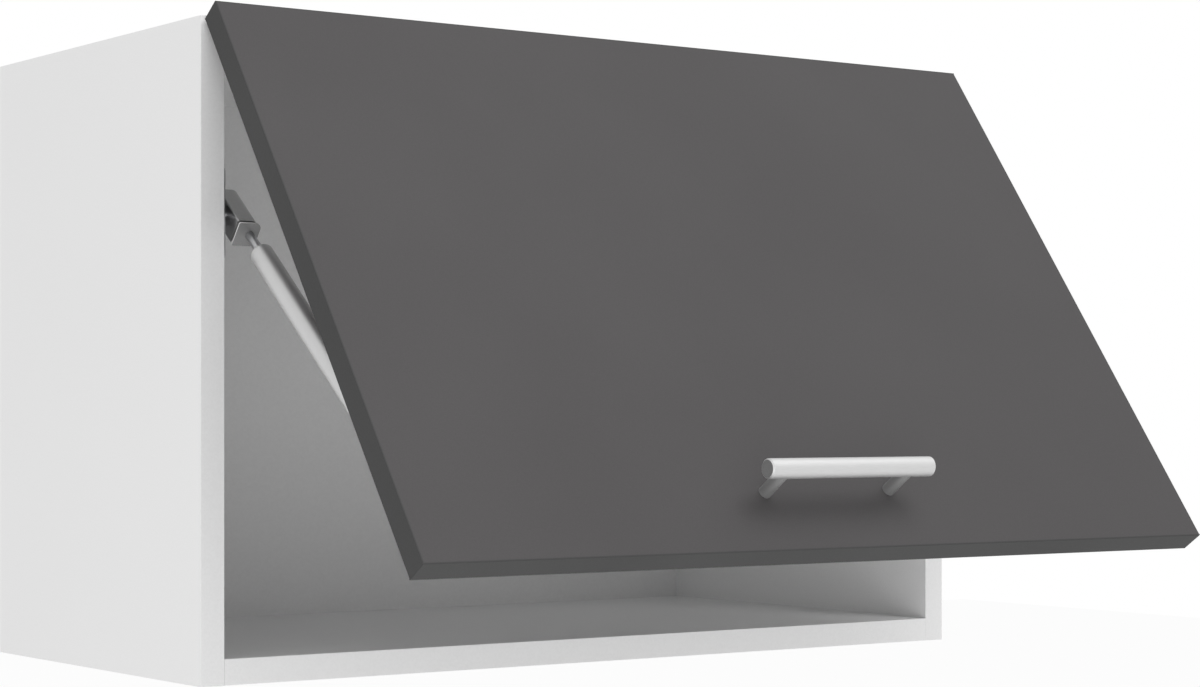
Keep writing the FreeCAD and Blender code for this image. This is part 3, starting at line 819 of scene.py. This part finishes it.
def loose_screws(node):
    shell = bmesh.new()
    shell.from_mesh(nodes[node].data)
    bmesh.ops.remove_doubles(shell, verts=shell.verts, dist=SAME_POINT)
    seen = set()
    found = []
    for start in shell.verts:
        if start in seen:
            continue
        seen.add(start)
        screw = [start]
        for vertex in screw:
            neighbours = [edge.other_vert(vertex) for edge in vertex.link_edges]
            fresh = [neighbour for neighbour in neighbours if neighbour not in seen]
            seen.update(fresh)
            screw.extend(fresh)
        found.append([vertex.co.copy() for vertex in screw])
    shell.free()
    return found


def screw_stance(points, aim):
    depths = [point.dot(aim) for point in points]
    head = [point for point, depth in zip(points, depths) if depth < min(depths) + FLAT_END]
    head_middle = sum(head, Vector()) / len(head)
    head_radius = max((point - head_middle).length for point in head)
    return head_middle, head_radius, max(depths) - min(depths)


print("screws that hold the hangers:", len(loose_screws("hanger_screws")))

# %% [markdown]
# ## Two profiles of screw
# Sheet steel is held by countersunk wood screws, and the handle by pan-headed machine screws.
# A library of screws would bring threads that no one sees, so a profile runs from head to tip
# in shares of the head's radius, with an arc for the crown of the pan head.

# %% Draw the profiles
SHANK_SHARE = 0.5
CONE_DEPTH = 0.5
PAN_DEPTH = 0.55
CROWN_DEPTH = 0.25
CROWN_FLAT = 0.75
CROWN_STEPS = 3


def countersunk(radius, length):
    neck = SHANK_SHARE * radius
    return [(0, radius), (CONE_DEPTH * radius, neck), (length - neck, neck), (length, 0)]


def pan_headed(radius, length):
    neck = SHANK_SHARE * radius
    foot = PAN_DEPTH * radius
    crown = []
    for step in range(CROWN_STEPS + 1):
        angle = math.pi / 2 * step / CROWN_STEPS
        reach = CROWN_FLAT + (1 - CROWN_FLAT) * math.sin(angle)
        crown.append((CROWN_DEPTH * radius * (1 - math.cos(angle)), reach * radius))
    return crown + [(foot, radius), (foot, neck), (length, neck), (length, 0)]


print("countersunk points:", len(countersunk(radius=1, length=4)))
print("pan head points:", len(pan_headed(radius=1, length=4)))

# %% [markdown]
# ## The cross recess
# A screwdriver needs a cross with tapered walls, and it shows as a dark star on each head.
# The cross could be painted on, or cut by a boolean, which leaves poor faces on so small a piece.
# Here the head is filled round a cross-shaped mouth, and walls lead down to a smaller cross.

# %% Build one screw round its recess
RECESS_ARM = 0.62
RECESS_HALF_WIDTH = 0.15
RECESS_DEPTH = 0.4
RECESS_TAPER = 0.55
HEAD_STEPS = 32
ARMS = 4


def cross_outline(radius):
    arm = RECESS_ARM * radius
    half = RECESS_HALF_WIDTH * radius
    corners = [Vector((arm, -half)), Vector((arm, half)), Vector((half, half))]
    spins = [Matrix.Rotation(2 * math.pi * quarter / ARMS, 2) for quarter in range(ARMS)]
    return [spin @ corner for spin in spins for corner in corners]


def cross_screw(profile):
    shape = turned(profile, HEAD_STEPS)
    radius = profile[0][1]
    rim = [edge for edge in shape.edges if all(vertex.co.z == 0 for vertex in edge.verts)]
    outline = cross_outline(radius)
    mouth = [shape.verts.new((point.x, point.y, 0)) for point in outline]
    foot = [shape.verts.new((*(point * RECESS_TAPER), RECESS_DEPTH * radius)) for point in outline]
    for index in range(len(outline)):
        shape.faces.new([mouth[index - 1], mouth[index], foot[index], foot[index - 1]])
    shape.faces.new(foot)
    inner = [shape.edges.get([mouth[index - 1], mouth[index]]) for index in range(len(outline))]
    bmesh.ops.triangle_fill(shape, use_beauty=True, edges=rim + inner)
    return shape


sample = cross_screw(countersunk(radius=1, length=4))
print("one screw has", len(sample.faces), "faces")
sample.free()

# %% [markdown]
# ## Which way each screw is driven
# Hanger screws are driven from the rear, hinge screws from the front, and the strut's plates are
# screwed to the sides. What is on the flap is driven square to the flap, which rests part way open.
# The directions could be read from the shells, but a shell doesn't say which end is the head.

# %% Name the directions
flap_open = math.radians(-joint_of["flap_lift"]["range_deg"][0])
flap_front = Matrix.Rotation(-flap_open, 3, "X") @ FRONT


def from_behind(place):
    return FRONT


def from_the_front(place):
    return REAR


def from_inside(place):
    return Vector((math.copysign(1, place.x), 0, 0))


def through_the_flap(place):
    return flap_front


print("flap rests", round(math.degrees(flap_open), 2), "degrees open")

# %% [markdown]
# ## Screws into their places
# Each group of screws is one piece, as on the bench: the same screw, driven at several places.
# Single objects would do, but a group replaces its node of the frame as a whole
# and rides on the body that the node rides on.

# %% Put a recessed screw in the place of each plain one
screw_groups = {
    "hanger_screws": ("carcass", countersunk, from_behind),
    "hinge_screws_carcass": ("carcass", countersunk, from_the_front),
    "strut_wall_plate_screws": ("carcass", countersunk, from_inside),
    "hinge_screws_flap": ("flap", countersunk, through_the_flap),
    "strut_flap_bracket_screws": ("flap", countersunk, through_the_flap),
    "handle_screws": ("flap", pan_headed, through_the_flap)}
for node, (body, form, driven) in screw_groups.items():
    group_shape = bmesh.new()
    for points in loose_screws(node):
        aim = driven(points[0])
        head, head_radius, length = screw_stance(points, aim)
        screw = cross_screw(form(head_radius, length))
        screw.transform(pointed(head, aim))
        screw_mesh = bpy.data.meshes.new("screw")
        screw.to_mesh(screw_mesh)
        screw.free()
        group_shape.from_mesh(screw_mesh)
        bpy.data.meshes.remove(screw_mesh)
    made = piece_from(node.replace("screws", "cross_screws"), group_shape, plated_steel, body)
    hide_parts(node)
